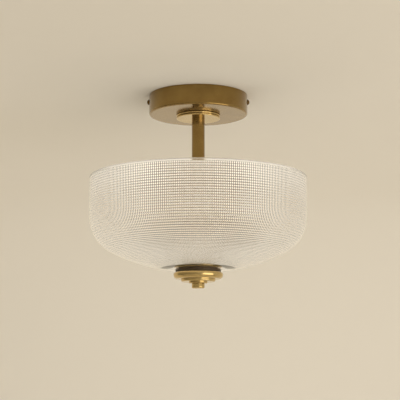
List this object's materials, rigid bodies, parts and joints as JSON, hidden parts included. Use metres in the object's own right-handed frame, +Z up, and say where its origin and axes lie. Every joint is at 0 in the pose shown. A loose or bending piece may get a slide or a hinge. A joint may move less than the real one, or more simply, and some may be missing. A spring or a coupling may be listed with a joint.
{
  "type": "semi flush ceiling light",
  "caption": "Semi flush ceiling light: round brass rose and stem carry a ribbed clear glass bowl, open at the top, clamped by a stepped brass finial, with lamps held inside.",
  "frame": {"origin": "centre of the ceiling bracket's screw slots, in the ceiling plane, on the light's vertical axis", "axes": "+Z up into the ceiling, +X along the bracket strap and the two lamps, -Y towards the viewer of the picture"},
  "size_m": [0.3, 0.3, 0.2694],
  "materials": {
    "satin_brass": "brushed and lacquered antique brass, satin",
    "polished_brass": "polished and lacquered brass",
    "dark_brass": "antique brass, darkened",
    "bare_brass": "bare turned brass",
    "tinned_brass": "tinned",
    "zinc_steel": "zinc plated",
    "nickel_cap": "nickel plated, thin",
    "prismatic_glass": "pressed clear glass with fine flutes and rings",
    "clear_lamp_glass": "blown clear glass",
    "black_glass": "black vitrified insulator",
    "black_rubber": "matt moulded rubber",
    "cream_thermoplastic": "moulded heat resistant thermoplastic",
    "white_polyamide": "moulded polyamide",
    "filament_phosphor": "phosphor coated filament strips",
    "brown_pvc": "extruded insulation",
    "blue_pvc": "extruded insulation",
    "green_yellow_pvc": "extruded insulation, two coloured"
  },
  "bodies": {
    "fixture": {"block_fixing_screws": "zinc_steel", "blue_wires": "blue_pvc", "brown_wires": "brown_pvc", "ceiling_bracket": "zinc_steel", "ceiling_rose": "satin_brass", "centre_rod": "zinc_steel", "cluster_body": "satin_brass", "cluster_cover": "satin_brass", "cluster_nut": "polished_brass", "cluster_washer": "zinc_steel", "earth_screw": "bare_brass", "earth_washer": "bare_brass", "earth_wire": "green_yellow_pvc", "holder_contact_left": "bare_brass", "holder_contact_right": "bare_brass", "holder_nipple_left": "zinc_steel", "holder_nipple_right": "zinc_steel", "holder_shell_left": "bare_brass", "holder_shell_right": "bare_brass", "holder_sleeve_left": "satin_brass", "holder_sleeve_right": "satin_brass", "lampholder_left": "cream_thermoplastic", "lampholder_right": "cream_thermoplastic", "rod_earth_tag": "tinned_brass", "rod_sleeve": "satin_brass", "rod_top_nut": "zinc_steel", "rod_top_washer": "zinc_steel", "stem_collar": "polished_brass", "stem_tube": "satin_brass", "stop_flange": "satin_brass", "terminal_block": "white_polyamide", "terminal_inserts": "bare_brass", "terminal_screws": "zinc_steel"},
    "shade": {"glass_bowl": "prismatic_glass", "upper_gasket": "black_rubber", "lower_gasket": "black_rubber", "finial_plate": "polished_brass", "finial_ring": "polished_brass"},
    "finial": {"finial_knob": "polished_brass"},
    "screw_left": {"rose_screw_left": "dark_brass"},
    "screw_right": {"rose_screw_right": "dark_brass"},
    "lamp_left": {"lamp_cap_left": "nickel_cap", "lamp_contact_left": "bare_brass", "lamp_filaments_left": "filament_phosphor", "lamp_globe_left": "clear_lamp_glass", "lamp_insulator_left": "black_glass", "lamp_post_left": "clear_lamp_glass"},
    "lamp_right": {"lamp_cap_right": "nickel_cap", "lamp_contact_right": "bare_brass", "lamp_filaments_right": "filament_phosphor", "lamp_globe_right": "clear_lamp_glass", "lamp_insulator_right": "black_glass", "lamp_post_right": "clear_lamp_glass"}
  },
  "joints": [
    {"name": "shade_lower", "type": "slide", "parent": "fixture", "child": "shade", "axis": [0, 0, -1], "range_m": [0, 0.008]},
    {"name": "finial_turn", "type": "hinge", "parent": "shade", "child": "finial", "pos_m": [0, 0, -0.26], "axis": [0, 0, -1], "range_deg": [0, 2880]},
    {"name": "left_screw_out", "type": "slide", "parent": "fixture", "child": "screw_left", "axis": [-1, 0, 0], "range_m": [0, 0.006]},
    {"name": "right_screw_out", "type": "slide", "parent": "fixture", "child": "screw_right", "axis": [1, 0, 0], "range_m": [0, 0.006]},
    {"name": "left_lamp_out", "type": "slide", "parent": "fixture", "child": "lamp_left", "axis": [-1, 0, 0], "range_m": [0, 0.024]},
    {"name": "right_lamp_out", "type": "slide", "parent": "fixture", "child": "lamp_right", "axis": [1, 0, 0], "range_m": [0, 0.024]}
  ],
  "couplings": [
    {"joint": "finial_turn", "follows": "shade_lower", "rad_per_m": 6283.2}
  ]
}
